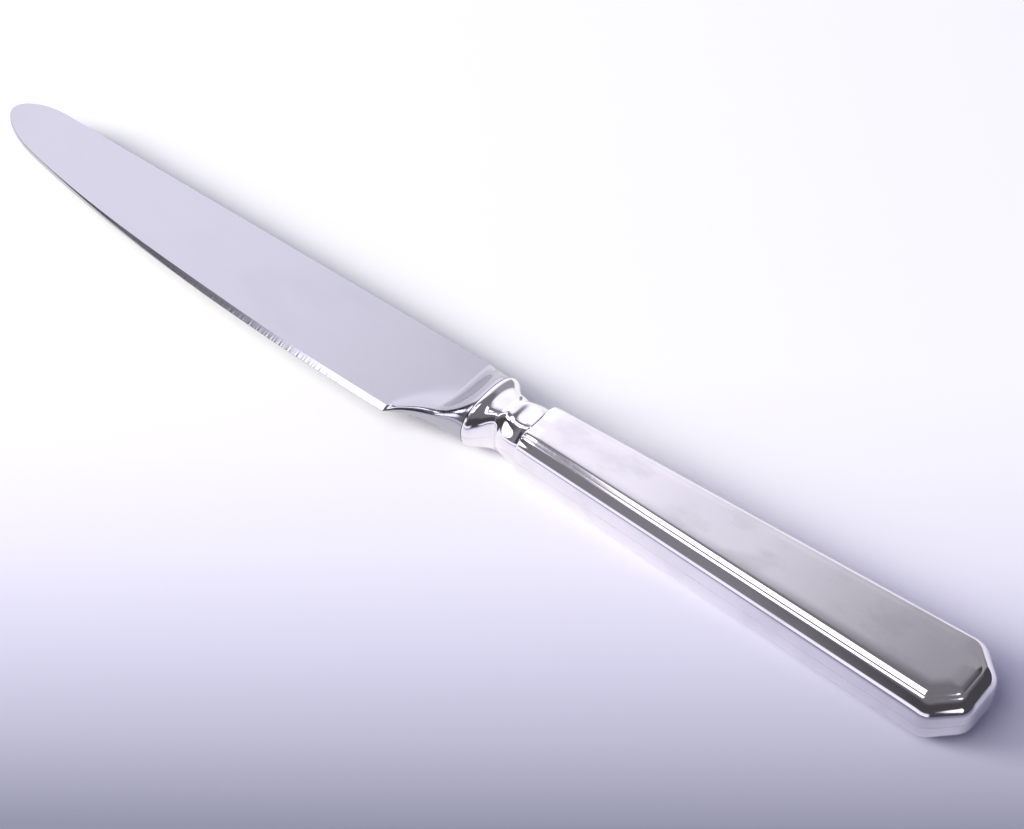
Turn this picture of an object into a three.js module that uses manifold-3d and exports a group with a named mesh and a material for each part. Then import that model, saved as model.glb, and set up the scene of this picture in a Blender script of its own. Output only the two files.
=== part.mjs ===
// A dessert knife with a hollow handle: a forged blade whose tang is cemented into two soldered half-shells.
// Millimetres, +Z up. The knife lies on its lower handle panel, its tip toward -X and its edge toward -Y.
import * as THREE from 'three';
import { mergeVertices } from 'three/addons/utils/BufferGeometryUtils.js';
import Module from 'manifold-3d';

// Blade: lengths run along the knife's axis, heights are measured from that axis.
const bladeLength = 115.2;
const spineHeight = 7.8;
const heelDepth = 11.0;
const heelSetback = 13.4;
const tipHeight = 3.1;
const tipRoundUpper = 9;
const tipRoundLower = 11;
const tipFlat = 0.04;
const bellyRise = 10.1;
const bellyPower = 2.35;
const spineThickness = 1.9;
const tipThickness = 1.0;
const faceThickness = 1.0;
const edgeThickness = 0.12;
const bevelWidth = 1.2;

// Bolster and tang, forged with the blade. The choil is the thickened lower side behind the heel, and
// reaches up a share of the section's height. Higher powers make a later and sharper curve.
const choilLength = 6;
const choilThickness = 2.8;
const choilReach = 0.35;
const choilPower = 3;
const flarePowerBack = 3.6;
const flarePowerEdge = 2.2;
const bolsterLength = 6.5;
const tangWidth = 4.0;
const tangThickness = 2.6;
const tangLength = 52;
const tangRoot = 2;

// Handle slab: a flat panel and, outward from it, a rim, a narrow ledge, a bead, a chamfer and a plain side.
// It narrows from the butt to its front, and its length counts from the joint with the bolster.
const handleLength = 94.8;
const handleThickness = 9.6;
const slabFront = 10.4;
const panelWidthButt = 10.5;
const panelWidthFront = 5.5;
const rimWidthButt = 0.85;
const rimWidthFront = 0.75;
const rimDepth = 0.3;
const ledgeWidth = 0.12;
const beadWidthButt = 0.8;
const beadWidthFront = 0.75;
const beadDepth = 0.35;
const chamferWidthButt = 1.9;
const chamferWidthFront = 1.45;
const chamferDepthButt = 1.65;
const chamferDepthFront = 1.3;
const sideBulge = 0.12;
const cornerClip = 2.9;
const crossLineWidth = 0.3;
const crossLineDepth = 0.2;

// Handle neck: the collar at the bolster, the waist behind it and the shoulder block.
// Squareness 2 is an ellipse, and higher values come closer to a rectangle. The block's corners are cut off
// at 45 degrees, and its slant is the distance of those cuts from the axis.
const collarWidth = 14.3;
const collarRidge = 0.4;
const collarEdge = 0.15;
const collarSquareness = 2.4;
const waistPlace = 4.5;
const waistWidth = 8.4;
const waistThickness = 9.0;
const blockFront = 5.5;
const blockWidth = 10.4;
const blockSquareness = 3.6;
const blockSlant = 5.1;
const blockLap = 0.3;

// Shell wall, solder film and clearances.
const shellWall = 0.8;
const solderThickness = 0.2;
const fitGap = 0.3;
const jointGap = 0.12;

// Mesh fineness: points across a blade face, round a neck section and along each stretch. The bevel takes at
// most a limited share of a section's height, and at the joint the outermost facet keeps a small share of it.
const facePoints = 11;
const neckPoints = 36;
const tipStations = 9;
const bladeStations = 12;
const choilStations = 6;
const bolsterStations = 9;
const neckStations = 7;
const bevelLimit = 0.5;
const jointFacet = 0.01;
const weldDistance = 1e-5;

// Half sizes of the neck and of the joint where the bolster meets the collar. The neck reaches the planes that
// the panels lie in, so the knife also rests on its collar and block.
const neckHalfThickness = handleThickness / 2;
const jointHalfWidth = collarWidth / 2 - collarEdge;
const jointHalfThickness = neckHalfThickness - collarEdge;

const wasm = await Module();
wasm.setup();

// Turns a closed geometry into a solid that can be joined and cut.
function toSolid(geometry) {
  const bare = geometry.clone();
  bare.deleteAttribute('normal');
  bare.deleteAttribute('uv');
  const merged = mergeVertices(bare, weldDistance);
  const mesh = new wasm.Mesh({
    numProp: 3,
    vertProperties: new Float32Array(merged.attributes.position.array),
    triVerts: new Uint32Array(merged.index.array),
  });
  return new wasm.Manifold(mesh);
}

// Turns a solid back into a geometry.
function toGeometry(solid) {
  const mesh = solid.getMesh();
  const geometry = new THREE.BufferGeometry();
  geometry.setAttribute('position', new THREE.BufferAttribute(new Float32Array(mesh.vertProperties), 3));
  geometry.setIndex(new THREE.BufferAttribute(new Uint32Array(mesh.triVerts), 1));
  geometry.computeVertexNormals();
  return geometry;
}

// A box from its lowest to its highest corner.
function boxBetween(low, high) {
  const size = new THREE.Vector3().subVectors(high, low);
  const centre = new THREE.Vector3().addVectors(low, high).multiplyScalar(0.5);
  const geometry = new THREE.BoxGeometry(size.x, size.y, size.z);
  return geometry.translate(centre.x, centre.y, centre.z);
}

// Joins rings of equal point counts into a closed body. Each ring turns anticlockwise seen from the last.
function loft(rings) {
  const count = rings[0].length;
  const positions = rings.flat().flatMap((point) => [point.x, point.y, point.z]);
  const indices = [];
  for (let ring = 0; ring + 1 < rings.length; ring += 1) {
    for (let i = 0; i < count; i += 1) {
      const next = (i + 1) % count;
      const here = ring * count;
      const there = here + count;
      indices.push(here + i, here + next, there + next);
      indices.push(here + i, there + next, there + i);
    }
  }
  const last = (rings.length - 1) * count;
  for (let i = 1; i + 1 < count; i += 1) {
    indices.push(0, i + 1, i);
    indices.push(last, last + i, last + i + 1);
  }
  const geometry = new THREE.BufferGeometry();
  geometry.setAttribute('position', new THREE.Float32BufferAttribute(positions, 3));
  geometry.setIndex(indices);
  return geometry;
}

// Evenly spaced values from start to end, both included.
function spread(start, end, steps) {
  return Array.from({ length: steps + 1 }, (_, i) => THREE.MathUtils.lerp(start, end, i / steps));
}

// A smooth rise from 0 to 1 while x runs from start to end.
function ease(x, start, end) {
  return THREE.MathUtils.smoothstep(x, start, end);
}

// How far a quarter ellipse has closed at a distance from its end: 1 at the end, 0 where it is full.
function rounding(distance, reach) {
  const left = Math.max(0, 1 - distance / reach);
  return 1 - Math.sqrt(1 - left * left);
}

// One corner of the rounded square |y|^n + |z|^n = 1: the z that belongs to a y.
function squareRound(y, squareness) {
  return Math.max(0, 1 - Math.abs(y) ** squareness) ** (1 / squareness);
}

// How far x has come from the heel (0) to the joint (1).
function pastHeel(x) {
  return THREE.MathUtils.clamp((x + heelSetback) / heelSetback, 0, 1);
}

// Height of the blade's back above the axis. The joint is at x = 0 and the tip at x = -bladeLength.
function backHeight(x) {
  const fromTip = x + bladeLength + tipFlat;
  const blade = spineHeight - (spineHeight - tipHeight) * rounding(fromTip, tipRoundUpper);
  return THREE.MathUtils.lerp(blade, jointHalfWidth, ease(x, -bolsterLength, 0));
}

// Height of the cutting edge, and of the bolster's lower side behind the heel. Below the axis it is negative.
function edgeHeight(x) {
  const fromTip = x + bladeLength + tipFlat;
  const beforeHeel = Math.max(0, 1 - fromTip / (bladeLength - heelSetback));
  const belly = bellyRise * beforeHeel ** bellyPower;
  const tipLift = (tipHeight + heelDepth - bellyRise) * rounding(fromTip, tipRoundLower);
  const choil = (heelDepth - jointHalfWidth) * (1 - (1 - pastHeel(x)) ** choilPower);
  return -heelDepth + belly + tipLift + choil;
}

// Half thickness of the ground blade at a share of the way from the back (0) to the bevel (1).
function bladeHalfThickness(x, share) {
  const toTip = THREE.MathUtils.clamp(-(x + heelSetback) / (bladeLength - heelSetback), 0, 1);
  const back = THREE.MathUtils.lerp(spineThickness, tipThickness, toTip);
  return THREE.MathUtils.lerp(back, faceThickness, share) / 2;
}

// How far the choil has thickened at x: 0 at the heel and 1 at its full thickness.
function choilGrowth(x) {
  return ease(x, -heelSetback, -heelSetback + choilLength);
}

// Half thickness of the ground blade with the choil's thicker lower side, at the same share.
function forgedHalfThickness(x, share) {
  const blade = bladeHalfThickness(x, share);
  const thickened = choilGrowth(x) * ease(share, 1 - choilReach, 1);
  return THREE.MathUtils.lerp(blade, Math.max(blade, choilThickness / 2), thickened);
}

// Half thickness of the oval at the joint, at a share of the way from the back (0) to the lower side (1).
function jointHalf(share) {
  return Math.max(jointHalfThickness * squareRound(2 * share - 1, collarSquareness), edgeThickness / 2);
}

// One section of blade or bolster: along the upper face from the back to the edge, then back along the lower.
function bladeSection(x) {
  const back = backHeight(x);
  const height = back - edgeHeight(x);
  const bevel = THREE.MathUtils.lerp(Math.min(bevelWidth / height, bevelLimit), jointFacet, pastHeel(x));
  const edgeHalf = THREE.MathUtils.lerp(edgeThickness, choilThickness, choilGrowth(x)) / 2;
  const upper = [];
  for (let i = 0; i <= facePoints; i += 1) {
    const isEdge = i === facePoints;
    const ground = (1 - Math.cos((Math.PI * i) / (facePoints - 1))) / 2;
    const share = isEdge ? 1 : ground * (1 - bevel);
    const forgedHalf = isEdge ? edgeHalf : forgedHalfThickness(x, ground);
    const flare = pastHeel(x) ** THREE.MathUtils.lerp(flarePowerBack, flarePowerEdge, share);
    const half = THREE.MathUtils.lerp(forgedHalf, jointHalf(share), flare);
    upper.push(new THREE.Vector3(x, back - share * height, half));
  }
  const lower = upper.map((point) => new THREE.Vector3(point.x, point.y, -point.z));
  return [...upper, ...lower.reverse()];
}

// The blade with its bolster and its tang, in one forging.
function bladeGeometry() {
  const tipBack = -bladeLength + tipRoundLower;
  const choilEnd = -heelSetback + choilLength;
  const places = [
    ...spread(0, 1, tipStations).map((t) => THREE.MathUtils.lerp(-bladeLength, tipBack, t * t)),
    ...spread(tipBack, -heelSetback, bladeStations).slice(1),
    ...spread(-heelSetback, choilEnd, choilStations).slice(1),
    ...spread(choilEnd, -jointGap / 2, bolsterStations).slice(1),
  ];
  const forged = toSolid(loft(places.map(bladeSection)));
  return toGeometry(forged.add(toSolid(tangBox(0))));
}

// The tang's bar, or with a gap round it the socket that it sits in.
function tangBox(gap) {
  const halfWidth = tangWidth / 2 + gap;
  const halfThickness = tangThickness / 2 + gap;
  const low = new THREE.Vector3(-tangRoot, -halfWidth, -halfThickness);
  return boxBetween(low, new THREE.Vector3(tangLength + gap, halfWidth, halfThickness));
}

// Size of the neck's section at x: half width, half thickness, squareness and slant. Before the block its
// slant is that of the full corners, so nothing is cut off there.
function neckSize(x) {
  const edge = (ease(x, 0, collarRidge) - 1) * collarEdge;
  const fall = ease(x, collarRidge, waistPlace);
  const climb = ease(x, waistPlace, blockFront);
  const width = THREE.MathUtils.lerp(collarWidth / 2 + edge, waistWidth / 2, fall);
  const thick = THREE.MathUtils.lerp(neckHalfThickness + edge, waistThickness / 2, fall);
  return {
    width: THREE.MathUtils.lerp(width, blockWidth / 2, climb),
    thick: THREE.MathUtils.lerp(thick, neckHalfThickness, climb),
    squareness: THREE.MathUtils.lerp(collarSquareness, blockSquareness, climb),
    slant: THREE.MathUtils.lerp((width + thick) / Math.SQRT2, blockSlant, climb),
  };
}

// One section of the neck, a rounded oval that turns into a rounded square with cut corners at the block.
function neckSection(x, inset) {
  const size = neckSize(x);
  return Array.from({ length: neckPoints }, (_, i) => {
    const angle = (2 * Math.PI * i) / neckPoints;
    const round = (value) => Math.sign(value) * Math.abs(value) ** (2 / size.squareness);
    const y = (size.width - inset) * round(Math.cos(angle));
    const z = (size.thick - inset) * round(Math.sin(angle));
    const cut = Math.min(1, ((size.slant - inset) * Math.SQRT2) / (Math.abs(y) + Math.abs(z)));
    return new THREE.Vector3(x, y * cut, z * cut);
  });
}

// The neck as a solid, drawn in by an inset on every side. It laps into the slab, so the two are one body.
function neckSolid(inset) {
  const front = jointGap / 2 + inset;
  const rear = slabFront + blockLap + inset;
  const places = [
    ...spread(front, waistPlace, neckStations),
    ...spread(waistPlace, blockFront, neckStations).slice(1),
    ...spread(blockFront, rear, neckStations).slice(1),
  ];
  return toSolid(loft(places.map((x) => neckSection(x, inset))));
}

// Levels of the slab's moulding from the panel down to the side: how far out from the panel's edge (out) and
// how high (z) each lies, at the butt and at the front.
function mouldingLevels() {
  const butt = [
    { width: rimWidthButt, depth: rimDepth },
    { width: ledgeWidth, depth: 0 },
    { width: beadWidthButt, depth: beadDepth },
    { width: chamferWidthButt, depth: chamferDepthButt },
  ];
  const front = [
    { width: rimWidthFront, depth: rimDepth },
    { width: ledgeWidth, depth: 0 },
    { width: beadWidthFront, depth: beadDepth },
    { width: chamferWidthFront, depth: chamferDepthFront },
  ];
  const levels = [{ butt: panelEdge(), front: panelEdge() }];
  butt.forEach((step, i) => {
    const above = levels.at(-1);
    levels.push({ butt: stepDown(above.butt, step), front: stepDown(above.front, front[i]) });
  });
  return levels;
}

// The panel's own edge, where the moulding starts.
function panelEdge() {
  return { out: 0, z: handleThickness / 2 };
}

// The place that one step of the moulding leads to.
function stepDown(place, step) {
  return { out: place.out + step.width, z: place.z - step.depth };
}

// The same place on the lower half of the handle.
function turnedOver(place) {
  return { out: place.out, z: -place.z };
}

// The place in the middle of the side, where it bulges out a little.
function bulged(place) {
  return { out: place.out + sideBulge, z: 0 };
}

// Outline of the slab seen from above at one level: straight sides and butt corners clipped at 45 degrees.
// The clip grows with the outline so that the moulding is as wide on the corners as on the sides.
function slabOutline(level, side, inset) {
  const front = slabFront + inset;
  const end = handleLength - sideBulge - side.butt.out + level.butt.out - inset;
  const halfButt = panelWidthButt / 2 + level.butt.out - inset;
  const halfFront = panelWidthFront / 2 + level.front.out - inset;
  const clip = cornerClip + (level.butt.out - inset) * (2 - Math.SQRT2);
  const corner = halfButt - (clip * (halfButt - halfFront)) / (end - front);
  const points = [
    [front, -halfFront, level.front.z],
    [end - clip, -corner, level.butt.z],
    [end, -(halfButt - clip), level.butt.z],
    [end, halfButt - clip, level.butt.z],
    [end - clip, corner, level.butt.z],
    [front, halfFront, level.front.z],
  ];
  return points.map(([x, y, z]) => new THREE.Vector3(x, y, z - Math.sign(z) * inset));
}

// The moulded slab as a solid, drawn in by an inset on every side.
function slabSolid(inset) {
  const upper = mouldingLevels();
  const side = upper.at(-1);
  const middle = { butt: bulged(side.butt), front: bulged(side.front) };
  const lower = upper.map((level) => ({ butt: turnedOver(level.butt), front: turnedOver(level.front) }));
  const levels = [...lower, middle, ...upper.reverse()];
  return toSolid(loft(levels.map((level) => slabOutline(level, side, inset))));
}

// The fine line cut across the front of a panel, above or below.
function crossLine(facing) {
  const panel = (facing * handleThickness) / 2;
  const floor = panel - facing * crossLineDepth;
  const halfLength = panelWidthFront / 2;
  const low = new THREE.Vector3(slabFront, -halfLength, Math.min(panel, floor));
  const high = new THREE.Vector3(slabFront + crossLineWidth, halfLength, Math.max(panel, floor));
  return toSolid(boxBetween(low, high));
}

// The whole handle as a solid, drawn in by an inset on every side.
function handleSolid(inset) {
  return slabSolid(inset).add(neckSolid(inset));
}

// A flat layer of space between two heights, larger than the handle.
function layer(low, high) {
  const reach = 2 * handleLength;
  const corner = new THREE.Vector3(-reach, -reach, low);
  return toSolid(boxBetween(corner, new THREE.Vector3(reach, reach, high)));
}

// The hollow handle before it is parted into its two shells and the solder film.
function hollowSolid() {
  const outside = handleSolid(0).subtract(crossLine(1)).subtract(crossLine(-1));
  return outside.subtract(handleSolid(shellWall)).subtract(toSolid(tangBox(fitGap)));
}

// The cement core, with the socket that holds the tang.
function fillingGeometry() {
  return toGeometry(handleSolid(shellWall + fitGap).subtract(toSolid(tangBox(fitGap))));
}

const steel = { color: 0xcfcddd, roughness: 0.16, metalness: 1 };
const silver = { color: 0xe6e2e4, roughness: 0.1, metalness: 1 };
const solder = { color: 0xcfc8bf, roughness: 0.3, metalness: 1 };
const cement = { color: 0x8f8a80, roughness: 0.95, metalness: 0 };

// A named piece with its own material.
function piece(name, geometry, finish) {
  const mesh = new THREE.Mesh(geometry, new THREE.MeshStandardMaterial(finish));
  mesh.name = name;
  return mesh;
}

const hollow = hollowSolid();
const film = solderThickness / 2;

const knife = new THREE.Group();
knife.add(
  piece('blade', bladeGeometry(), steel),
  piece('handle_shell_top', toGeometry(hollow.intersect(layer(film, handleThickness))), silver),
  piece('handle_shell_bottom', toGeometry(hollow.intersect(layer(-handleThickness, -film))), silver),
  piece('seam_solder', toGeometry(hollow.intersect(layer(-film, film))), solder),
  piece('handle_filling', fillingGeometry(), cement),
);

// The origin is under the middle of the knife, on the surface that the lower panel rests on.
const bounds = new THREE.Box3().setFromObject(knife);
const middle = bounds.getCenter(new THREE.Vector3());
knife.position.set(-middle.x, -middle.y, -bounds.min.z);

export default new THREE.Group().add(knife);
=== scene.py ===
"""Looks of the dessert knife: smooth skins over its solids, metal finishes, a small studio and the camera.

Shapes are worked out in millimetres in the knife's own frame: the joint lies at x = 0 with the blade toward
-x, the axis at y = 0 and the middle plane at z = 0. They move into the row frame, in metres, when a mesh is
made.
"""

import math

import bmesh
import bpy
import numpy as np
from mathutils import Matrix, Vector


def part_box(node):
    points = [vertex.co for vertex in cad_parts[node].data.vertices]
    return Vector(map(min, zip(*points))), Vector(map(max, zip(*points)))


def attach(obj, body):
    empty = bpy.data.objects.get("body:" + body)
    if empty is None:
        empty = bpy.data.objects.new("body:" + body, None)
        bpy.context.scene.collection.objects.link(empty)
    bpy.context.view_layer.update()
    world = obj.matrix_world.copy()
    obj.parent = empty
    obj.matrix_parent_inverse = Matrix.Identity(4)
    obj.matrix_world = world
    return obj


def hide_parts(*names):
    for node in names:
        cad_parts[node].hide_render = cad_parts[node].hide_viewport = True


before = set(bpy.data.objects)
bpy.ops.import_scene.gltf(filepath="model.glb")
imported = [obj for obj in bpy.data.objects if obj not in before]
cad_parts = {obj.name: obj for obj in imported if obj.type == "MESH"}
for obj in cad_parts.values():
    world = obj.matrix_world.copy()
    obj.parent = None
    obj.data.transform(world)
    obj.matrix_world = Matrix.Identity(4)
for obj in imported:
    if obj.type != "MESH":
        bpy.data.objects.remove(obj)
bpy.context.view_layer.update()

MM = 0.001
MICROMETRE = 1e-6

# Blade: its outline, then its thickness at the back, at the tip's back, above the bevel and at the edge.
BLADE_LENGTH = 115.2
SPINE_HEIGHT = 7.8
HEEL_DEPTH = 11.0
HEEL_SETBACK = 13.4
TIP_HEIGHT = 3.1
TIP_ROUND_UPPER = 9.0
TIP_ROUND_LOWER = 11.0
TIP_FLAT = 0.04
BELLY_RISE = 10.1
BELLY_POWER = 2.35
SPINE_THICKNESS = 1.6
SPINE_ROUND = 0.22
TIP_THICKNESS = 1.0
THINNING_POWER = 1.5
FACE_THICKNESS = 0.98
EDGE_THICKNESS = 0.12

# Bevel: its full width, the share of it at the tip, and the distances from the tip over which it widens.
BEVEL_WIDTH = 1.15
BEVEL_AT_TIP = 0.05
BEVEL_FROM = 12.0
BEVEL_FULL = 65.0

# Fine teeth along the bevel: where they start and end, from the tip, and how they fade there. Waves of three
# pitches make them uneven, each one shifted by so many radians for a millimetre of its pitch.
TEETH_FROM = 24.0
TEETH_TO = 100.0
TEETH_FADE_IN = 12.0
TEETH_FADE_OUT = 8.0
TEETH_PITCHES = (0.83, 0.57, 1.31)
TEETH_SHIFT = 7.0
TEETH_DEPTH = 0.012

# Bolster and tang.
BOLSTER_LENGTH = 6.5
TANG_WIDTH = 4.0
TANG_THICKNESS = 2.6
TANG_LENGTH = 52.0
TANG_ROOT = 2.0

# Choil, by the share of the way from the heel to the joint: the lower side rises, thickens and is rolled
# over broadly, the face swells beside it, and at last the whole section turns into the bolster's oval.
CHOIL_POWER = 3.0
CHOIL_THICKNESS = 1.2
CHOIL_THICKENING = 0.75
CHOIL_ROUND = 0.12
ROLL_WIDTH = 2.4
ROLL_GROWTH = (0.1, 0.6)
SWELL = 2.8
SWELL_POWER = 1.3
SWELL_REACH = 1.5
SWELL_SPREAD = 4.0
OVAL_START = 0.55
CHOIL_SQUARENESS = 3.0

# Points of a blade section: distances from the back and from the edge, shares of the bevel's width, and how
# many points lie between. Where the blade is lower than the full height, the distances shrink with it.
FROM_BACK = np.array([0, 0.02, 0.06, 0.12, 0.2, 0.32])
FROM_EDGE = np.array([3.0, 2.4, 1.9, 1.5, 1.2])
BEVEL_SHARES = np.array([1.0, 0.8, 0.62, 0.48, 0.36, 0.25, 0.17, 0.1, 0.06, 0.03, 0.01, 0])
BETWEEN = 12
FULL_HEIGHT = 8.0

# Sections along the tip, the blade and the choil.
TIP_SECTIONS = 40
BLADE_SECTIONS = 720
CHOIL_SECTIONS = 110

# Handle slab. The groove at its front is as deep as a share of the block, and the corner's radius grows by a
# share of the distance out from the panel's edge.
HANDLE_LENGTH = 94.8
HANDLE_THICKNESS = 9.6
SLAB_FRONT = 10.4
PANEL_HALF_BUTT = 5.25
PANEL_HALF_FRONT = 2.75
SIDE_OUT = 3.67
SIDE_BULGE = 0.12
SIDE_CLEARANCE = 0.005
FRONT_SCALE = 0.8365
FRONT_INSET = 0.22
CORNER_CLIP = 2.9
CORNER_ROUND = 0.5
CORNER_ROUND_GROWTH = 0.3
FRONT_LAP = 0.2
FRONT_ROUND = 0.5
GROOVE_WIDTH = 0.3
GROOVE_SHARE = 0.05

# A corner cut at 45 degrees grows by this for each millimetre that its two sides move out.
CLIP_GROWTH = 2 - math.sqrt(2)

# Moulding from the panel to the side as arcs: length, tilt at the start and the end in degrees, and points.
PANEL_FLAT = -2.1
MOULDING_START = -1.98
MOULDING = [
    (0.9, 0, 1.6, 6),
    (1.0, 1.6, 3.0, 6),
    (0.3, 3.0, 5, 4),
    (0.45, 5, 14, 6),
    (0.64, 14, 25, 6),
    (0.06, 25, 6, 4),
    (0.2, 6, 6, 2),
    (0.06, 6, 14, 4),
    (0.41, 14, 26, 6),
    (0.3, 26, 36, 5),
    (0.95, 36, 48, 6),
    (1.2, 48, 63, 8),
    (0.42, 63, 76, 5),
]
ARC_PARTS = 8

# Points along the slab's outlines.
SIDE_STEPS = 10
STRAIGHT_POINTS = 30
CORNER_POINTS = 9
PANEL_FRONT_POINTS = 18
FRONT_ROUND_ROWS = 7

# Handle neck, from the joint back: collar, waist and block. It stays inside the panel's plane by the relief.
COLLAR_WIDTH = 14.3
COLLAR_RIDGE = 0.4
COLLAR_EDGE = 0.15
COLLAR_SQUARENESS = 2.4
COLLAR_BACK = 0.6
COLLAR_LIP = 0.8
WAIST_FRONT = 2.0
WAIST_BACK = 4.5
WAIST_WIDTH = 8.4
WAIST_THICKNESS = 9.1
BLOCK_FRONT = 5.5
BLOCK_DIP = 0.1
BLOCK_DIP_FRONT = (6.3, 7.4)
BLOCK_DIP_BACK = (7.6, 10.0)
BLOCK_MIDDLE = 8.2
BLOCK_WIDTH = 10.4
BLOCK_BARREL = 0.45
BLOCK_SQUARENESS = 3.6
BLOCK_CHAMFER = 5.2
BLOCK_CHAMFER_TILT = math.radians(45)
BLOCK_CHAMFER_MIDDLE = 9.0
BLOCK_CHAMFER_BULGE = 0.3
BLOCK_CHAMFER_EDGE = 14.0
REST_RELIEF = 0.05

# Rows along the block, its climb from the waist, the waist and the collar.
BLOCK_ROWS = 24
CLIMB_ROWS = 16
WAIST_ROWS = 40
COLLAR_ROWS = 8

# Shell wall, solder film and clearances.
SHELL_WALL = 0.7
FILM = 0.2
FILM_RECESS = 0.004
FIT_GAP = 0.12

SLAB_START = SLAB_FRONT + FRONT_LAP
NECK_HALF_THICKNESS = HANDLE_THICKNESS / 2 - REST_RELIEF
JOINT_HALF_WIDTH = COLLAR_WIDTH / 2 - COLLAR_EDGE
JOINT_HALF_THICKNESS = NECK_HALF_THICKNESS - COLLAR_EDGE

# Points closer than this become one.
WELD_DISTANCE = 1e-5

# Edges that turn by more than this are drawn sharp.
SHARP_ANGLE = math.radians(15)

# Faces with more sides than this are the flat panels and end caps.
MANY_SIDES = 8


def lerp(a, b, t):
    return a + (b - a) * t


def ease(x, start, end):
    """0 before the start, 1 past the end and a smooth step between."""
    t = np.clip((x - start) / (end - start), 0, 1)
    return t * t * (3 - 2 * t)


def rounding(distance, reach):
    """How far a round end has fallen, from 1 at the end to 0 at its reach."""
    left = max(0.0, 1 - distance / reach)
    return 1 - math.sqrt(1 - left * left)


def square_round(y, squareness):
    """Half height of a squared oval at y from -1 to 1. Squareness 2 is an ellipse."""
    return np.maximum(0, 1 - np.abs(y) ** squareness) ** (1 / squareness)


def knife_origin():
    """Where the knife's own frame lies in the row frame, in metres."""
    blade_low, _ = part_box("blade")
    top_low, top_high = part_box("handle_shell_top")
    bottom_low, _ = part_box("handle_shell_bottom")
    x = blade_low.x + BLADE_LENGTH * MM
    y = (top_low.y + top_high.y) / 2
    z = bottom_low.z + HANDLE_THICKNESS / 2 * MM
    return np.array([x, y, z])


KNIFE_ORIGIN = knife_origin()


def keep_flat(mesh):
    """Marks the outline of every many-sided face as sharp, so that its shading stays flat."""
    many_sided = [face for face in mesh.polygons if face.loop_total > MANY_SIDES]
    for face in many_sided:
        for loop in face.loop_indices:
            mesh.edges[mesh.loops[loop].edge_index].use_edge_sharp = True


def make_piece(name, points, faces, material, slot, node):
    """A piece from points in the knife's frame. It stands for a CAD node and rides with the knife."""
    mesh = bpy.data.meshes.new(name)
    mesh.from_pydata((np.asarray(points) * MM + KNIFE_ORIGIN).tolist(), [], faces)
    mesh.validate()
    mesh.polygons.foreach_set("use_smooth", [True] * len(mesh.polygons))
    mesh.set_sharp_from_angle(angle=SHARP_ANGLE)
    keep_flat(mesh)
    mesh.materials.append(material)
    piece = bpy.data.objects.new(name, mesh)
    bpy.context.scene.collection.objects.link(piece)
    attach(piece, "root")
    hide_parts(node)


# The blade.


def past_heel(x):
    """The share of the way from the heel to the joint."""
    return float(np.clip((x + HEEL_SETBACK) / HEEL_SETBACK, 0, 1))


def back_height(x):
    """Height of the back over the axis."""
    from_tip = x + BLADE_LENGTH + TIP_FLAT
    blade = SPINE_HEIGHT - (SPINE_HEIGHT - TIP_HEIGHT) * rounding(from_tip, TIP_ROUND_UPPER)
    return lerp(blade, JOINT_HALF_WIDTH, ease(x, -BOLSTER_LENGTH, 0))


def edge_height(x):
    """Height of the cutting edge over the axis, and past the heel of the lower side."""
    from_tip = x + BLADE_LENGTH + TIP_FLAT
    before_heel = max(0.0, 1 - from_tip / (BLADE_LENGTH - HEEL_SETBACK))
    belly = BELLY_RISE * before_heel**BELLY_POWER
    tip_lift = (TIP_HEIGHT + HEEL_DEPTH - BELLY_RISE) * rounding(from_tip, TIP_ROUND_LOWER)
    choil = (HEEL_DEPTH - JOINT_HALF_WIDTH) * (1 - (1 - past_heel(x)) ** CHOIL_POWER)
    return -HEEL_DEPTH + belly + tip_lift + choil


def teeth(x):
    """How far the edge is drawn back at x by the fine, uneven teeth."""
    from_tip = x + BLADE_LENGTH
    start = ease(from_tip, TEETH_FROM, TEETH_FROM + TEETH_FADE_IN)
    end = ease(from_tip, TEETH_TO - TEETH_FADE_OUT, TEETH_TO)
    waves = [math.sin(math.tau * from_tip / pitch + pitch * TEETH_SHIFT) for pitch in TEETH_PITCHES]
    return TEETH_DEPTH * start * (1 - end) * (1 + sum(waves) / len(waves))


def bevel_share(x):
    """How much of the full bevel is ground at x: almost none at the tip."""
    return lerp(BEVEL_AT_TIP, 1.0, ease(x + BLADE_LENGTH, BEVEL_FROM, BEVEL_FULL))


def section_depths(height, bevel, shrink):
    """Distances below the back at which a section has its points."""
    back, edge = FROM_BACK * shrink, height - FROM_EDGE * shrink
    between = np.linspace(back[-1], edge[0], BETWEEN + 2)[1:-1]
    return np.concatenate([back, between, edge, height - BEVEL_SHARES * bevel])


def face_half(x, down, face_height, spine_round):
    """Half thickness of the plain face, which thins toward the edge and the tip, with its rounded back."""
    to_tip = float(np.clip(-(x + HEEL_SETBACK) / (BLADE_LENGTH - HEEL_SETBACK), 0, 1))
    back = lerp(SPINE_THICKNESS, TIP_THICKNESS, to_tip**THINNING_POWER)
    face = lerp(back, FACE_THICKNESS, np.clip(down / face_height, 0, 1)) / 2
    near_back = np.clip(spine_round - down, 0, None)
    return face - (spine_round - np.sqrt(spine_round**2 - near_back**2))


def forged_half(x, face, to_edge, bevel):
    """Half thickness with the bevel and, past the heel, with the swollen face and the rolled lower side."""
    past = past_heel(x)
    spread = SWELL_REACH + SWELL_SPREAD * past
    swollen = face + SWELL * past**SWELL_POWER * np.exp(-((to_edge / spread) ** 2))
    ground_edge = lerp(FACE_THICKNESS, EDGE_THICKNESS, bevel_share(x))
    rim = lerp(ground_edge, CHOIL_THICKNESS, ease(past, 0, CHOIL_THICKENING)) / 2
    rolled = np.clip(to_edge / lerp(bevel, ROLL_WIDTH, ease(past, *ROLL_GROWTH)), 0, 1)
    rounded = np.sqrt(1 - (1 - rolled) ** 2)
    return lerp(rim, swollen, lerp(rolled, rounded, ease(past, 0, CHOIL_ROUND)))


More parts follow.
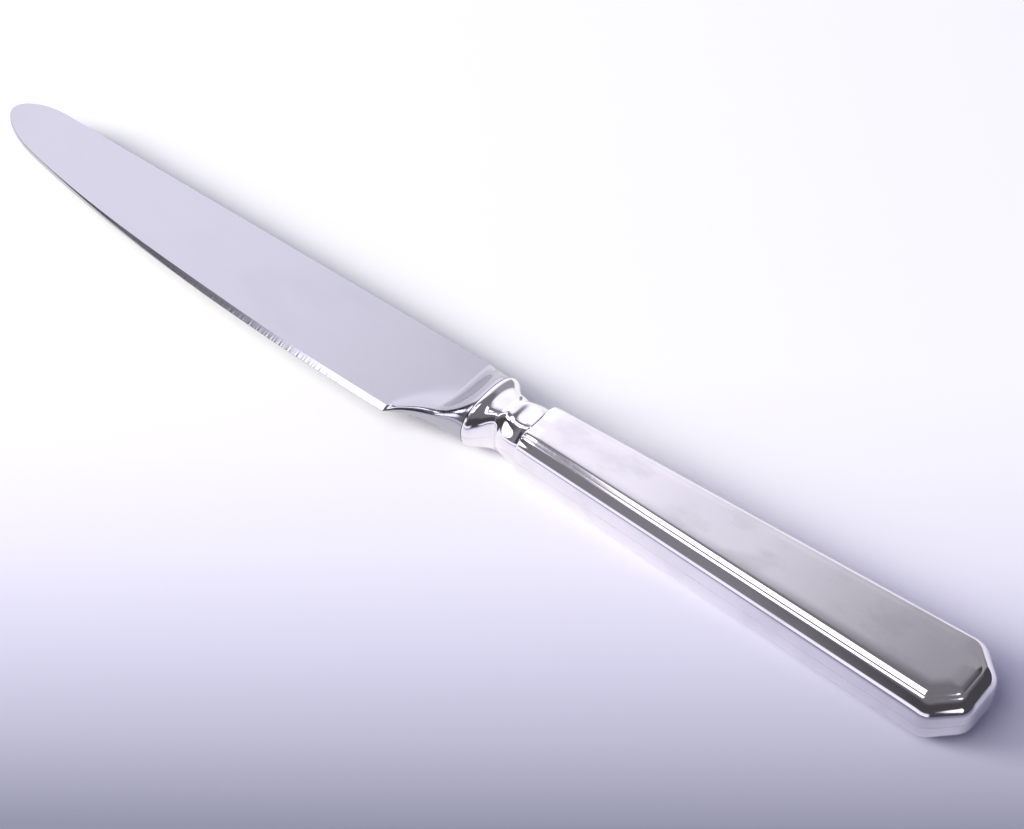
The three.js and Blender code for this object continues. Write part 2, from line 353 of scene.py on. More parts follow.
def blade_section(x):
    """One section: along the upper face from the back to the edge, then back along the lower face."""
    back = back_height(x)
    height = back - edge_height(x)
    shrink = min(1.0, height / FULL_HEIGHT)
    bevel = BEVEL_WIDTH * shrink * bevel_share(x)
    down = section_depths(height, bevel, shrink)
    to_edge = height - down

    past = past_heel(x)
    face_height = height - bevel if past == 0 else SPINE_HEIGHT + HEEL_DEPTH - BEVEL_WIDTH
    face = face_half(x, down, face_height, SPINE_ROUND * shrink)
    forged = forged_half(x, face, to_edge, bevel)
    squareness = lerp(CHOIL_SQUARENESS, COLLAR_SQUARENESS, past)
    oval = JOINT_HALF_THICKNESS * square_round(2 * down / height - 1, squareness)
    half = np.maximum(lerp(forged, oval, ease(past, OVAL_START, 1)), EDGE_THICKNESS / 2)

    y = back - down + teeth(x) * (1 - np.clip(to_edge / bevel, 0, 1))
    upper = np.stack([np.full_like(y, x), y, half], axis=1)
    lower = upper[::-1] * [1, 1, -1]
    return np.concatenate([upper, lower])


def blade_places():
    """Where the sections lie, crowded toward the tip."""
    tip_back = -BLADE_LENGTH + TIP_ROUND_LOWER
    tip = lerp(-BLADE_LENGTH, tip_back, np.linspace(0, 1, TIP_SECTIONS) ** 2)
    blade = np.linspace(tip_back, -HEEL_SETBACK, BLADE_SECTIONS)[1:]
    choil = np.linspace(-HEEL_SETBACK, -FIT_GAP / 2, CHOIL_SECTIONS)[1:]
    return np.concatenate([tip, blade, choil])


def box_mesh(low, high, first):
    """A box between two corners, whose points are counted from first."""
    spans = list(zip(low, high))
    points = [(x, y, z) for z in spans[2] for y in spans[1] for x in spans[0]]
    sides = [(0, 2, 3, 1), (4, 5, 7, 6), (0, 1, 5, 4), (2, 6, 7, 3), (0, 4, 6, 2), (1, 3, 7, 5)]
    return np.array(points), [tuple(first + i for i in side) for side in sides]


def blade_mesh():
    """The blade with its bolster, and the tang that stands inside the handle."""
    sections = [blade_section(x) for x in blade_places()]
    count = len(sections[0])
    points = np.concatenate(sections)
    last = len(points) - count
    faces = []
    for here in range(0, last, count):
        for i in range(count):
            after = (i + 1) % count
            faces.append((here + i, here + after, here + count + after, here + count + i))
    faces.append(tuple(reversed(range(count))))
    faces.append(tuple(range(last, len(points))))
    tang_points, tang_faces = box_mesh(
        (-TANG_ROOT, -TANG_WIDTH / 2, -TANG_THICKNESS / 2),
        (TANG_LENGTH, TANG_WIDTH / 2, TANG_THICKNESS / 2),
        len(points),
    )
    return np.concatenate([points, tang_points]), faces + tang_faces


# The handle.


def arc_points(length, start, end, steps):
    """Points out and down along an arc whose tilt turns evenly, counted from where it starts."""
    parts = steps * ARC_PARTS
    tilts = np.radians(lerp(start, end, (np.arange(parts) + 0.5) / parts))
    moves = np.column_stack([np.cos(tilts), np.sin(tilts)]) * length / parts
    return np.cumsum(moves, axis=0)[ARC_PARTS - 1 :: ARC_PARTS]


def moulding_profile():
    """Distances out from the panel's edge and depths below it, at the butt, from the panel to the side."""
    points = [np.array([PANEL_FLAT, 0.0]), np.array([MOULDING_START, 0.0])]
    for arc in MOULDING:
        points.extend(points[-1] + arc_points(*arc))
    return np.transpose(points)


def side_profile(out, depth, widest):
    """The slightly bulging side from the moulding's foot to the seam."""
    share = np.linspace(0, 1, SIDE_STEPS + 1)[1:]
    seam = HANDLE_THICKNESS / 2 - FILM / 2
    return widest - (widest - out) * (1 - share) ** 2, lerp(depth, seam, share)


def bend(before, corner, after, reach):
    """Points of a rounded corner in plan."""
    first = corner + (before - corner) / np.linalg.norm(before - corner) * reach
    last = corner + (after - corner) / np.linalg.norm(after - corner) * reach
    t = np.linspace(0, 1, CORNER_POINTS)[:, None]
    return (1 - t) ** 2 * first + 2 * t * (1 - t) * corner + t**2 * last


def slab_ring(out_butt, depth_butt, out_front, depth_front):
    """One level of the slab in plan: from its front along one side, round the butt and back."""
    end = HANDLE_LENGTH - SIDE_BULGE - SIDE_OUT + out_butt
    half_butt = PANEL_HALF_BUTT + out_butt
    half_front = PANEL_HALF_FRONT + out_front
    taper = (half_butt - half_front) / (end - SLAB_FRONT)
    clip = CORNER_CLIP + out_butt * CLIP_GROWTH
    front = np.array([SLAB_START, -(half_front + FRONT_LAP * taper)])
    side_corner = np.array([end - clip, -(half_butt - clip * taper)])
    end_corner = np.array([end, -(half_butt - clip)])
    reach = CORNER_ROUND + CORNER_ROUND_GROWTH * max(0.0, out_butt)
    side_bend = bend(front, side_corner, end_corner, reach)
    end_bend = bend(side_corner, end_corner, end_corner * [1, -1], reach)
    straight = np.linspace(front, side_bend[0], STRAIGHT_POINTS)[:-1]
    half = np.concatenate([straight, side_bend, end_bend])
    plan = np.concatenate([half, half[::-1] * [1, -1]])
    along = np.clip((plan[:, 0] - SLAB_FRONT) / (end - clip - SLAB_FRONT), 0, 1)
    z = HANDLE_THICKNESS / 2 - lerp(depth_front, depth_butt, along)
    return np.column_stack([plan, z])


def slab_rings():
    """The levels of the slab, from its panel to the seam."""
    out, depth = moulding_profile()
    side_out, side_depth = side_profile(out[-1], depth[-1], SIDE_OUT + SIDE_BULGE - SIDE_CLEARANCE)
    front_out, front_depth = (out - FRONT_INSET) * FRONT_SCALE, depth * FRONT_SCALE
    front_side_out, front_side_depth = side_profile(
        front_out[-1], front_depth[-1], SIDE_OUT * FRONT_SCALE + SIDE_BULGE
    )
    levels = zip(
        np.concatenate([out, side_out]),
        np.concatenate([depth, side_depth]),
        np.concatenate([front_out, front_side_out]),
        np.concatenate([front_depth, front_side_depth]),
    )
    return [slab_ring(*level) for level in levels]


def slab_front(rings):
    """The slab's front outline, from the near seam across the panel to the far seam."""
    near = np.array([ring[0] for ring in rings])[::-1]
    far = near[::-1] * [1, -1, 1]
    across = np.linspace(near[-1], far[0], PANEL_FRONT_POINTS)[1:-1]
    return np.concatenate([near, across, far])


def front_rows(front, block):
    """Rows from the slab's front outline over its rounded edge and through the groove to the block."""
    drop = block - front[:, 1:]
    drop_length = np.linalg.norm(drop, axis=1)
    radius = np.minimum(FRONT_ROUND, drop_length)
    rows = [front]
    for turn in np.linspace(0, math.pi / 2, FRONT_ROUND_ROWS)[1:]:
        inward = drop * (radius / drop_length * (1 - math.cos(turn)))[:, None]
        rows.append(np.column_stack([SLAB_START - radius * math.sin(turn), front[:, 1:] + inward]))
    foot = SLAB_START - radius
    groove = block * (1 - GROOVE_SHARE)
    rows.append(np.column_stack([foot, groove]))
    rows.append(np.column_stack([foot - GROOVE_WIDTH / 2, groove]))
    rows.append(np.column_stack([foot - GROOVE_WIDTH, block]))
    return rows


def neck_size(x):
    """Half width, half thickness and squareness of the neck's section."""
    edge = (ease(x, 0, COLLAR_RIDGE) - 1) * COLLAR_EDGE
    climb = ease(x, WAIST_BACK, BLOCK_FRONT)
    width = lerp(COLLAR_WIDTH / 2 + edge, WAIST_WIDTH / 2, ease(x, COLLAR_BACK, WAIST_BACK))
    thick = lerp(NECK_HALF_THICKNESS + edge, WAIST_THICKNESS / 2, ease(x, COLLAR_BACK, WAIST_FRONT))
    barrel = BLOCK_BARREL * ((x - BLOCK_MIDDLE) / (BLOCK_MIDDLE - BLOCK_FRONT)) ** 2
    dip = BLOCK_DIP * ease(x, *BLOCK_DIP_FRONT) * (1 - ease(x, *BLOCK_DIP_BACK))
    return (
        lerp(width, BLOCK_WIDTH / 2 - barrel, climb),
        lerp(thick, NECK_HALF_THICKNESS - dip, climb),
        lerp(COLLAR_SQUARENESS, BLOCK_SQUARENESS, ease(x, WAIST_FRONT, WAIST_BACK)),
    )


def block_chamfer(x):
    """Distance of the block's slanting sides from the axis."""
    turn = (max(x, BLOCK_FRONT) - BLOCK_CHAMFER_MIDDLE) / (BLOCK_MIDDLE - BLOCK_FRONT)
    return BLOCK_CHAMFER - BLOCK_CHAMFER_BULGE * turn**2


def neck_row(x, directions, scale=1.0):
    """One section of the neck, with a point in each of the given directions from the axis."""
    width, thick, squareness = neck_size(x)
    across, up = np.abs(directions / [width, thick]).T ** squareness
    reach = (across + up) ** (-1 / squareness)
    slant = np.abs(directions) @ [math.sin(BLOCK_CHAMFER_TILT), math.cos(BLOCK_CHAMFER_TILT)]
    chamfer = block_chamfer(x) / slant
    chamfered = (reach**-BLOCK_CHAMFER_EDGE + chamfer**-BLOCK_CHAMFER_EDGE) ** (-1 / BLOCK_CHAMFER_EDGE)
    reach = lerp(reach, chamfered, ease(x, WAIST_BACK, BLOCK_FRONT))
    yz = directions * reach[:, None] * scale
    return np.column_stack([np.full(len(yz), x), yz])


def neck_rows(directions):
    """Rows from the block to the joint, and the lip that turns in there."""
    places = np.concatenate(
        [
            np.linspace(SLAB_FRONT - 2 * FRONT_ROUND, BLOCK_FRONT, BLOCK_ROWS),
            np.linspace(BLOCK_FRONT, WAIST_BACK, CLIMB_ROWS)[1:],
            np.linspace(WAIST_BACK, COLLAR_RIDGE, WAIST_ROWS)[1:],
            np.linspace(COLLAR_RIDGE, FIT_GAP / 2, COLLAR_ROWS)[1:],
        ]
    )
    rows = [neck_row(x, directions) for x in places]
    rows.append(neck_row(FIT_GAP / 2, directions, COLLAR_LIP))
    return rows


def handle_grids():
    """The upper half of the handle: rings of the slab, and rows of its front and of the neck."""
    rings = slab_rings()
    front = slab_front(rings)
    directions = front[:, 1:] / np.linalg.norm(front[:, 1:], axis=1)[:, None]
    block = neck_row(SLAB_FRONT, directions)[:, 1:]
    return rings, front_rows(front, block) + neck_rows(directions)


def grid_faces(rows, columns, first):
    """Faces of a grid whose points are counted from first."""
    faces = []
    for r in range(rows - 1):
        for c in range(columns - 1):
            i = first + r * columns + c
            faces.append((i, i + 1, i + columns + 1, i + columns))
    return faces


def skin_faces(rings, rows):
    """Faces of the handle's upper half: the slab's levels, the front with the neck, and the flat panel."""
    ring_count, row_count = len(rings[0]), len(rows[0])
    first_row = len(rings) * ring_count
    faces = grid_faces(len(rings), ring_count, 0)
    faces += [face[::-1] for face in grid_faces(len(rows), row_count, first_row)]
    inner_front = range(first_row + len(rings) - 1, first_row + row_count - len(rings) + 1)
    panel = list(range(ring_count)) + list(reversed(inner_front))[1:-1]
    faces.append(tuple(panel))
    return faces


def shell_mesh(rings, rows, facing):
    """One half-shell with its wall: facing 1 is the upper half and -1 the lower."""
    bm = bmesh.new()
    made = [bm.verts.new(point * [1, 1, facing]) for point in np.concatenate(rings + rows)]
    for face in skin_faces(rings, rows):
        bm.faces.new([made[i] for i in face])
    bmesh.ops.remove_doubles(bm, verts=bm.verts, dist=WELD_DISTANCE)
    bmesh.ops.recalc_face_normals(bm, faces=bm.faces)
    panel = max(bm.faces, key=lambda face: face.calc_area())
    if panel.normal.z * facing < 0:
        bmesh.ops.reverse_faces(bm, faces=bm.faces)
    bmesh.ops.solidify(bm, geom=bm.faces[:], thickness=SHELL_WALL)
    bm.verts.index_update()
    points = np.array([vert.co for vert in bm.verts])
    faces = [tuple(vert.index for vert in face.verts) for face in bm.faces]
    bm.free()
    return points, faces


def film_mesh(rings, rows):
    """The solder film between the half-shells, just inside their outer edge."""
    near = np.array([row[0] for row in rows[:-1]])[::-1, :2]
    far = near[::-1] * [1, -1]
    path = np.concatenate([near[:-1], rings[-1][:, :2], far[1:]])
    step = np.gradient(path, axis=0)
    inward = np.column_stack([-step[:, 1], step[:, 0]]) / np.linalg.norm(step, axis=1)[:, None]
    outer = path + inward * FILM_RECESS
    inner = path + inward * SHELL_WALL
    lines = [(outer, FILM / 2), (inner, FILM / 2), (inner, -FILM / 2), (outer, -FILM / 2)]
    points = [np.column_stack([plan, np.full(len(plan), z)]) for plan, z in lines]
    count = len(path)
    starts = [count * i for i in range(len(lines))]
    faces = []
    for here, there in zip(starts, starts[1:] + starts[:1]):
        faces += [(here + i, here + i + 1, there + i + 1, there + i) for i in range(count - 1)]
    faces.append(tuple(starts))
    faces.append(tuple(start + count - 1 for start in reversed(starts)))
    return np.concatenate(points), faces


# Shader nodes.


def add(tree, kind, inputs=None, **fields):
    """A node with its fields set and its inputs set or linked."""
    made = tree.nodes.new(kind)
    for name, value in fields.items():
        setattr(made, name, value)
    for name, value in (inputs or {}).items():
        if isinstance(value, bpy.types.NodeSocket):
            tree.links.new(value, made.inputs[name])
        else:
            made.inputs[name].default_value = value
    return made


def new_material(name):
    material = bpy.data.materials.new(name)
    material.use_nodes = True
    tree = material.node_tree
    return material, tree, tree.nodes["Principled BSDF"]


def noise(tree, scale, detail, stretch=(1, 1, 1), turn=0.0):
    """Noise in the piece's own space, drawn out along its axes."""
    place = add(tree, "ShaderNodeTexCoord").outputs["Object"]
    mapping = add(tree, "ShaderNodeMapping", {"Vector": place, "Scale": stretch, "Rotation": (0, 0, turn)})
    made = add(tree, "ShaderNodeTexNoise", {"Vector": mapping.outputs[0], "Scale": scale, "Detail": detail})
    return made.outputs["Fac"]


def remap(tree, value, low, high, to_low, to_high):
    """A smooth step from one range to another."""
    made = add(
        tree,
        "ShaderNodeMapRange",
        {"Value": value, "From Min": low, "From Max": high, "To Min": to_low, "To Max": to_high},
        interpolation_type="SMOOTHSTEP",
    )
    return made.outputs["Result"]


def ramp(tree, value, tones):
    """Colours by a value, in straight lines between the given places."""
    start, end = tones[0][0], tones[-1][0]
    share = add(tree, "ShaderNodeMapRange", {"Value": value, "From Min": start, "From Max": end})
    made = add(tree, "ShaderNodeValToRGB", {"Fac": share.outputs["Result"]})
    stops = made.color_ramp.elements
    # New stops lie in the middle until they get their places.
    while len(stops) < len(tones):
        stops.new(0.5)
    for stop, (place, tone) in zip(stops, tones):
        stop.position = (place - start) / (end - start)
        stop.color = (*tone, 1)
    return made.outputs["Color"]


def blend(tree, share, colour, other):
    """A mix of two colours."""
    made = add(
        tree,
        "ShaderNodeMix",
        {"Factor": share, "A": (*colour, 1), "B": (*other, 1)},
        data_type="RGBA",
    )
    return made.outputs["Result"]


def combine(tree, operation, a, b):
    return add(tree, "ShaderNodeMath", {0: a, 1: b}, operation=operation).outputs[0]


def times(tree, a, b):
    return combine(tree, "MULTIPLY", a, b)


def plus(tree, a, b):
    return combine(tree, "ADD", a, b)


def minus(tree, a, b):
    return combine(tree, "SUBTRACT", a, b)


def dot(tree, vector, direction):
    made = add(tree, "ShaderNodeVectorMath", {0: vector, 1: direction}, operation="DOT_PRODUCT")
    return made.outputs["Value"]


# The materials.

# Smudges and polishing grain. A range holds the noise values over which a mark goes from least to most.
SMUDGE_DETAIL = 5
SMUDGE_STRETCH = (1, 1.6, 1)
SMUDGE_RANGE = (0.45, 0.72)
GRAIN_SCALE = 400
GRAIN_DETAIL = 3
GRAIN_STRETCH = (0.06, 6, 6)
GRAIN_RANGE = (0.3, 0.7)
GRAIN_ROUGHNESS = 0.01

# Hairline scratches along and across the knife: scale, stretch, turn and range.
HAIRLINE_DETAIL = 2
HAIRLINES_ALONG = (60, (1, 42, 42), 0.35, (0.66, 0.70))
HAIRLINES_ACROSS = (55, (42, 1, 42), 0.5, (0.68, 0.72))

# Cement, with crumbs up to the given height in millimetres.
CEMENT_DARK = (0.18, 0.16, 0.13)
CEMENT_LIGHT = (0.27, 0.25, 0.21)
CEMENT_ROUGHNESS = 0.95
CRUMB_SCALE = 900
CRUMB_DETAIL = 6
CRUMB_STRENGTH = 0.6
CRUMB_HEIGHT = 0.3


def hairlines(tree, scale, stretch, turn, limits):
    """Thin scratches at the peaks of noise that is drawn out in one direction."""
    return remap(tree, noise(tree, scale, HAIRLINE_DETAIL, stretch, turn), *limits, 0, 1)


def metal(name, colour, dull_colour, gloss, smudged, smudge_scale, grain_depth, scratch_depth):
    """Polished metal: cloudy smudges, a fine polishing grain along the knife and stray scratches.

    The roughness goes from gloss to smudged, and the depths are in micrometres.
    """
    material, tree, shader = new_material(name)
    clouds = noise(tree, smudge_scale, SMUDGE_DETAIL, SMUDGE_STRETCH)
    smudge = remap(tree, clouds, *SMUDGE_RANGE, 0, 1)
    grain = noise(tree, GRAIN_SCALE, GRAIN_DETAIL, GRAIN_STRETCH)
    scratches = plus(tree, hairlines(tree, *HAIRLINES_ALONG), hairlines(tree, *HAIRLINES_ACROSS))
    uneven = remap(tree, grain, *GRAIN_RANGE, -GRAIN_ROUGHNESS, GRAIN_ROUGHNESS)
    rough = plus(tree, remap(tree, smudge, 0, 1, gloss, smudged), uneven)
    relief = minus(tree, times(tree, grain, grain_depth), times(tree, scratches, scratch_depth))
    bump = add(tree, "ShaderNodeBump", {"Height": relief, "Strength": 1.0, "Distance": MICROMETRE})
    tree.links.new(blend(tree, smudge, colour, dull_colour), shader.inputs["Base Color"])
    tree.links.new(rough, shader.inputs["Roughness"])
    tree.links.new(bump.outputs[0], shader.inputs["Normal"])
    shader.inputs["Metallic"].default_value = 1.0
    return material


def blade_steel():
    return metal(
        "blade_steel",
        colour=(0.50, 0.497, 0.525),
        dull_colour=(0.49, 0.487, 0.515),
        gloss=0.14,
        smudged=0.16,
        smudge_scale=70,
        grain_depth=0.2,
        scratch_depth=0.4,
    )


def silver_plate():
    return metal(
        "silver_plate",
        colour=(0.94, 0.92, 0.925),
        dull_colour=(0.86, 0.84, 0.845),
        gloss=0.06,
        smudged=0.12,
        smudge_scale=130,
        grain_depth=0.2,
        scratch_depth=0.6,
    )


def solder():
    return metal(
        "solder",
        colour=(0.86, 0.84, 0.83),
        dull_colour=(0.78, 0.75, 0.73),
        gloss=0.2,
        smudged=0.3,
        smudge_scale=300,
        grain_depth=0.3,
        scratch_depth=0.5,
    )


def cement():
    """Dull and crumbly, in two shades."""
    material, tree, shader = new_material("cement")
    crumbs = noise(tree, CRUMB_SCALE, CRUMB_DETAIL)
    bump = add(
        tree,
        "ShaderNodeBump",
        {"Height": crumbs, "Strength": CRUMB_STRENGTH, "Distance": CRUMB_HEIGHT * MM},
    )
    tree.links.new(blend(tree, crumbs, CEMENT_DARK, CEMENT_LIGHT), shader.inputs["Base Color"])
    tree.links.new(bump.outputs[0], shader.inputs["Normal"])
    shader.inputs["Roughness"].default_value = CEMENT_ROUGHNESS
    return material


# The camera.

# Its place in millimetres from the tip, the axis and the table, and its angles in degrees.
CAMERA_PLACE = (291.353, -211.653, 308.547)
CAMERA_ELEVATION = 47.9025
CAMERA_TURN = 38.9483
FOCAL_PIXELS = 2500.0
IMAGE_WIDTH = 1024
SENSOR_WIDTH = 36.0


def camera_position():
    x, y, z = CAMERA_PLACE
    return (
        KNIFE_ORIGIN[0] + (x - BLADE_LENGTH) * MM,
        KNIFE_ORIGIN[1] + y * MM,
        KNIFE_ORIGIN[2] + (z - HANDLE_THICKNESS / 2) * MM,
    )


def make_camera():
    data = bpy.data.cameras.new("camera")
    data.sensor_width = SENSOR_WIDTH
    data.lens = FOCAL_PIXELS / IMAGE_WIDTH * SENSOR_WIDTH
    camera = bpy.data.objects.new("camera", data)
    camera.location = camera_position()
    camera.rotation_euler = (math.radians(90 - CAMERA_ELEVATION), 0, math.radians(CAMERA_TURN))
    bpy.context.scene.collection.objects.link(camera)
    bpy.context.scene.camera = camera


# The table.

# Its half width and its height, in metres.
TABLE_REACH = 3.0
TABLE_LEVEL = -0.00005
TABLE_ROUGHNESS = 0.9

# Its colour along one direction, by the distance in millimetres: painted shade, dim in front, white behind.
TABLE_DIRECTION = (-0.6123, 0.7907, 0.0)
TABLE_PAINTED_SHADE_TONES = [
    (-131, (0.20, 0.20, 0.28)),
    (-83, (0.285, 0.290, 0.370)),
    (-67, (0.505, 0.498, 0.612)),
    (-50, (0.682, 0.672, 0.808)),
    (-32, (0.845, 0.826, 0.925)),
    (-12, (0.930, 0.920, 0.960)),
    (9, (0.97, 0.97, 0.975)),
]


def table_material():
    material, tree, shader = new_material("table")
    place = add(tree, "ShaderNodeTexCoord").outputs["Object"]
    along = dot(tree, place, TABLE_DIRECTION)
    # The ramp paints the light's falloff across the table into its colour: painted shade toward the front.
    tones = [(distance * MM, tone) for distance, tone in TABLE_PAINTED_SHADE_TONES]
    tree.links.new(ramp(tree, along, tones), shader.inputs["Base Color"])
    shader.inputs["Roughness"].default_value = TABLE_ROUGHNESS
    shader.inputs["Specular IOR Level"].default_value = 0.0
    return material


def make_table():
    mesh = bpy.data.meshes.new("table")
    plan = [(-1, -1), (1, -1), (1, 1), (-1, 1)]
    corners = [(x * TABLE_REACH, y * TABLE_REACH, TABLE_LEVEL) for x, y in plan]
    mesh.from_pydata(corners, [], [(0, 1, 2, 3)])
    mesh.materials.append(table_material())
    table = bpy.data.objects.new("table", mesh)
    bpy.context.scene.collection.objects.link(table)


# The lamps over the table.

# Direction, distance and size in metres, power in watts, and colour.
KEY_LAMP = ((-0.78, -0.5, 0.38), 2.4, 1.0, 60.0, (1.0, 0.985, 0.9))
FILL_LAMP = ((-0.3, -0.55, 0.8), 2.4, 2.2, 34.0, (1.0, 0.99, 0.98))


def make_lamp(name, direction, distance, size, energy, colour):
    """A round lamp that faces the table's middle from a direction. The metal doesn't mirror it."""
    data = bpy.data.lights.new(name, "AREA")
    data.shape = "DISK"
    data.size = size
    data.energy = energy
    data.color = colour
    lamp = bpy.data.objects.new(name, data)
    away = Vector(direction).normalized()
    lamp.location = away * distance
    lamp.rotation_euler = away.to_track_quat("Z", "Y").to_euler()
    lamp.visible_glossy = False
    bpy.context.scene.collection.objects.link(lamp)


# The room that the metal mirrors.

# Its places are the x (side), y (depth) and z (up) of the direction in which they lie. A fade holds the
# places over which a light goes from one level to another.

# Light that reaches the table from all sides, its colour and the colour of the room in the metal.
EVEN_LIGHT = 0.3
EVEN_COLOUR = (0.90, 0.90, 1.22)
ROOM_COLOUR = (1.0, 0.97, 1.12)

# The back wall's light from left to right.
WALL_BRIGHTEST = 1.5
WALL_LEVELS = [
    (-1.0, 0.95),
    (-0.8, 1.1),
    (-0.7, 1.3),
    (-0.617, 1.43),
    (-0.53, 1.39),
    (-0.49, 1.29),
    (-0.46, 1.2),
    (-0.43, 1.05),
    (-0.4, 0.985),
    (-0.37, 0.93),
    (-0.35, 0.8),
    (-0.32, 0.73),
    (-0.3, 0.62),
    (-0.27, 0.48),
    (-0.24, 0.35),
    (-0.2, 0.33),
    (0.4, 0.33),
]

# The wall is dim past its slanting right end, and its top rises toward the back.
WALL_END_SLANT = 0.2
WALL_END_FADE = (-0.08, 0.08)
WALL_END_LEVEL = 0.12
WALL_RISE = (-0.12, 0.25)
WALL_TOP = (-0.1, 0.845)
WALL_TOP_FADE = (-0.07, 0.07)

# The bright strip low along the front, the dim front above it and the ceiling.
STRIP_UP_FADE = (0.16, 0.26)
STRIP_BACK_FADE = (-0.3, -0.1)
STRIP_RIGHT_FADE = (0.5, 0.65)
FRONT_RISE = (-0.27, -0.38)
FRONT_LEVELS = (0.06, 0.22)
FRONT_FALL = (-0.40, -0.62)
FRONT_LEFT_SHARE = 0.25
CEILING_FADE = (0.62, 0.88)
CEILING_LEVELS = (0.04, 0.17)

# Softboxes: the spans that they fill, the softness of their sides, the fade at their lower side and their
# light. The main one's ends slant, and the narrow one is brighter by its gain.
MAIN_BOX_SPAN = (-0.395, -0.19)
MAIN_BOX_MIDDLE = (-0.235, -0.03)
MAIN_BOX_HALF_DEPTH = 0.225
MAIN_BOX_SLANT = 0.35
NARROW_BOX_SPAN = (-0.505, -0.45)
NARROW_BOX_DEPTHS = (-0.3, 0.02)
NARROW_BOX_SOFTNESS = 0.03
NARROW_BOX_GAIN = 2.2
OVERHEAD_FADE = (0.5, 0.55)
OVERHEAD_LIGHT = 1.8
LEFT_BOX_SPAN = (-0.76, -0.57)
LEFT_BOX_DEPTHS = (-0.40, -0.19)
LEFT_BOX_FADE = (0.56, 0.6)
LEFT_BOX_LIGHT = 3.5
BOX_SOFTNESS = 0.02

# Small lamps: their direction, the fade by closeness to that direction, which is 1 there, and their light.
ROOM_LAMPS = [
    ((0.4, 0.1, 0.911), (0.99, 0.995), 1.2),
    ((0.865, -0.42, 0.275), (0.988, 0.9945), 1.3),
    ((-0.65, -0.65, 0.395), (0.981, 0.987), 2.0),
]


def window(tree, value, span, softness):
    """1 inside a span and 0 outside it, with soft ends."""
    low, high = span
    opened = remap(tree, value, low - softness, low + softness, 0, 1)
    return times(tree, opened, remap(tree, value, high - softness, high + softness, 1, 0))


def wall(tree, side, depth, up):
    """The white wall behind, brighter to the left."""
    greys = [(place, (level / WALL_BRIGHTEST,) * 3) for place, level in WALL_LEVELS]
    light = times(tree, ramp(tree, side, greys), WALL_BRIGHTEST)
    past_end = minus(tree, side, times(tree, depth, WALL_END_SLANT))
    light = times(tree, light, remap(tree, past_end, *WALL_END_FADE, 1, WALL_END_LEVEL))
    above = minus(tree, up, remap(tree, depth, *WALL_RISE, *WALL_TOP))
    return times(tree, light, remap(tree, above, *WALL_TOP_FADE, 1, 0))


def front_strip(tree, side, depth, up):
    """The bright strip that runs low along the front."""
    strip = times(tree, remap(tree, up, *STRIP_UP_FADE, 1, 0), remap(tree, depth, *STRIP_BACK_FADE, 1, 0))
    return times(tree, strip, remap(tree, side, *STRIP_RIGHT_FADE, 1, 0))


def dim_front(tree, side):
    """The front of the room, dim but for a paler stretch left of the middle."""
    pale = remap(tree, side, *FRONT_RISE, *FRONT_LEVELS)
    return times(tree, pale, remap(tree, side, *FRONT_FALL, 1, FRONT_LEFT_SHARE))


def overhead_boxes(tree, side, depth, up):
    """The main softbox overhead and the narrow one to its left."""
    middle_side, middle_depth = MAIN_BOX_MIDDLE
    slant = times(tree, minus(tree, side, middle_side), MAIN_BOX_SLANT)
    along = minus(tree, minus(tree, depth, middle_depth), slant)
    ends = (-MAIN_BOX_HALF_DEPTH, MAIN_BOX_HALF_DEPTH)
    main = times(
        tree,
        window(tree, side, MAIN_BOX_SPAN, BOX_SOFTNESS),
        window(tree, along, ends, BOX_SOFTNESS),
    )
    narrow = times(
        tree,
        window(tree, side, NARROW_BOX_SPAN, NARROW_BOX_SOFTNESS),
        window(tree, depth, NARROW_BOX_DEPTHS, NARROW_BOX_SOFTNESS),
    )
    both = plus(tree, main, times(tree, narrow, NARROW_BOX_GAIN))
    return times(tree, both, remap(tree, up, *OVERHEAD_FADE, 0, OVERHEAD_LIGHT))


def left_box(tree, side, depth, up):
    """The softbox in front on the left."""
    box = times(
        tree,
        window(tree, side, LEFT_BOX_SPAN, BOX_SOFTNESS),
        window(tree, depth, LEFT_BOX_DEPTHS, BOX_SOFTNESS),
    )
    return times(tree, box, remap(tree, up, *LEFT_BOX_FADE, 0, LEFT_BOX_LIGHT))


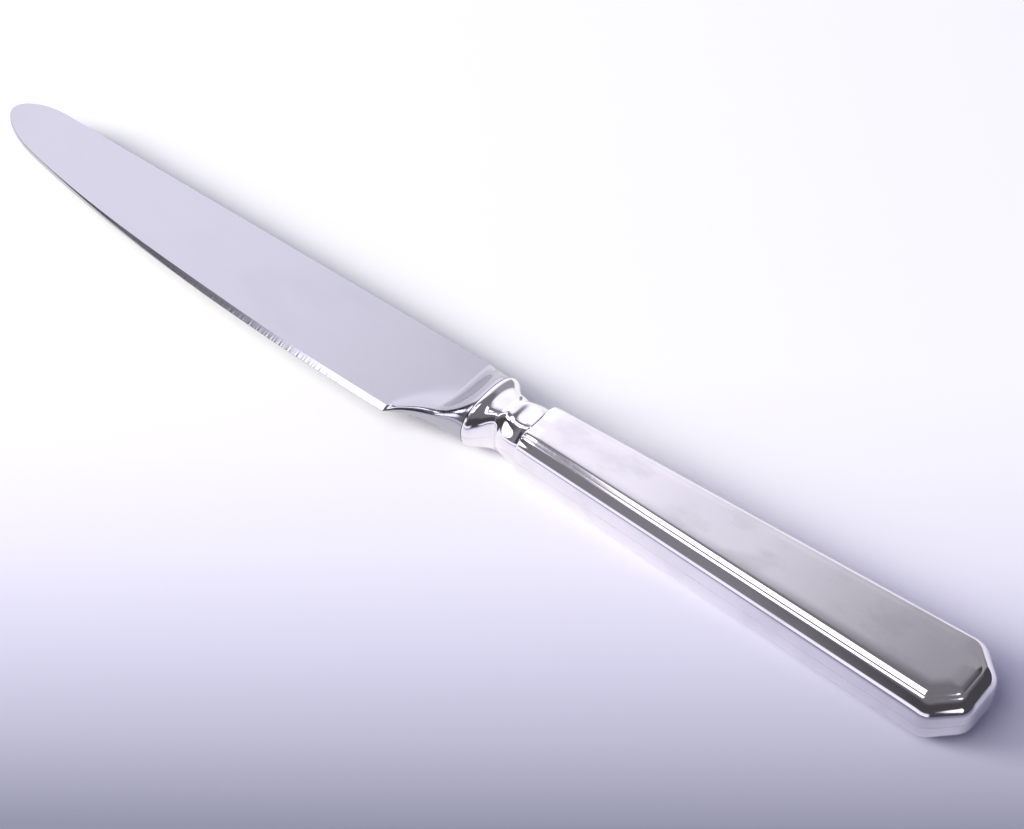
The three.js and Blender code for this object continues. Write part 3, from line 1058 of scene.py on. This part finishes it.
def room_light(tree, direction):
    """The room as the metal mirrors it: its surfaces, and on top of them the softboxes and small lamps."""
    parts = add(tree, "ShaderNodeSeparateXYZ", {"Vector": direction}).outputs
    side, depth, up = parts["X"], parts["Y"], parts["Z"]
    light = wall(tree, side, depth, up)
    ceiling = remap(tree, up, *CEILING_FADE, *CEILING_LEVELS)
    for surface in (front_strip(tree, side, depth, up), dim_front(tree, side), ceiling):
        light = combine(tree, "MAXIMUM", light, surface)
    for box in (overhead_boxes(tree, side, depth, up), left_box(tree, side, depth, up)):
        light = plus(tree, light, box)
    for place, fade, level in ROOM_LAMPS:
        light = plus(tree, light, remap(tree, dot(tree, direction, place), *fade, 0, level))
    return light


def make_room():
    """The metal mirrors the room. Everything else gets an even light from all sides beside the lamps."""
    world = bpy.data.worlds.new("studio")
    world.use_nodes = True
    tree = world.node_tree
    sky = tree.nodes["Background"]
    direction = add(tree, "ShaderNodeTexCoord").outputs["Generated"]
    mirrored = add(tree, "ShaderNodeLightPath").outputs["Is Glossy Ray"]
    level = add(
        tree,
        "ShaderNodeMix",
        {"Factor": mirrored, "A": EVEN_LIGHT, "B": room_light(tree, direction)},
        data_type="FLOAT",
    )
    tree.links.new(blend(tree, mirrored, EVEN_COLOUR, ROOM_COLOUR), sky.inputs["Color"])
    tree.links.new(level.outputs["Result"], sky.inputs["Strength"])
    bpy.context.scene.world = world


def dress_filling():
    """The cement core keeps its own solid and gets its material."""
    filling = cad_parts["handle_filling"]
    filling.data.materials.clear()
    filling.data.materials.append(cement())


rings, rows = handle_grids()
silver = silver_plate()
make_piece("knife_blade", *blade_mesh(), blade_steel(), "blade_steel", "blade")
make_piece("handle_top", *shell_mesh(rings, rows, 1), silver, "silver_plate", "handle_shell_top")
make_piece("handle_bottom", *shell_mesh(rings, rows, -1), silver, "silver_plate", "handle_shell_bottom")
make_piece("seam_line", *film_mesh(rings, rows), solder(), "solder", "seam_solder")
dress_filling()

make_table()
make_room()
make_lamp("key", *KEY_LAMP)
make_lamp("fill", *FILL_LAMP)
make_camera()
bpy.context.scene.view_settings.view_transform = "Standard"
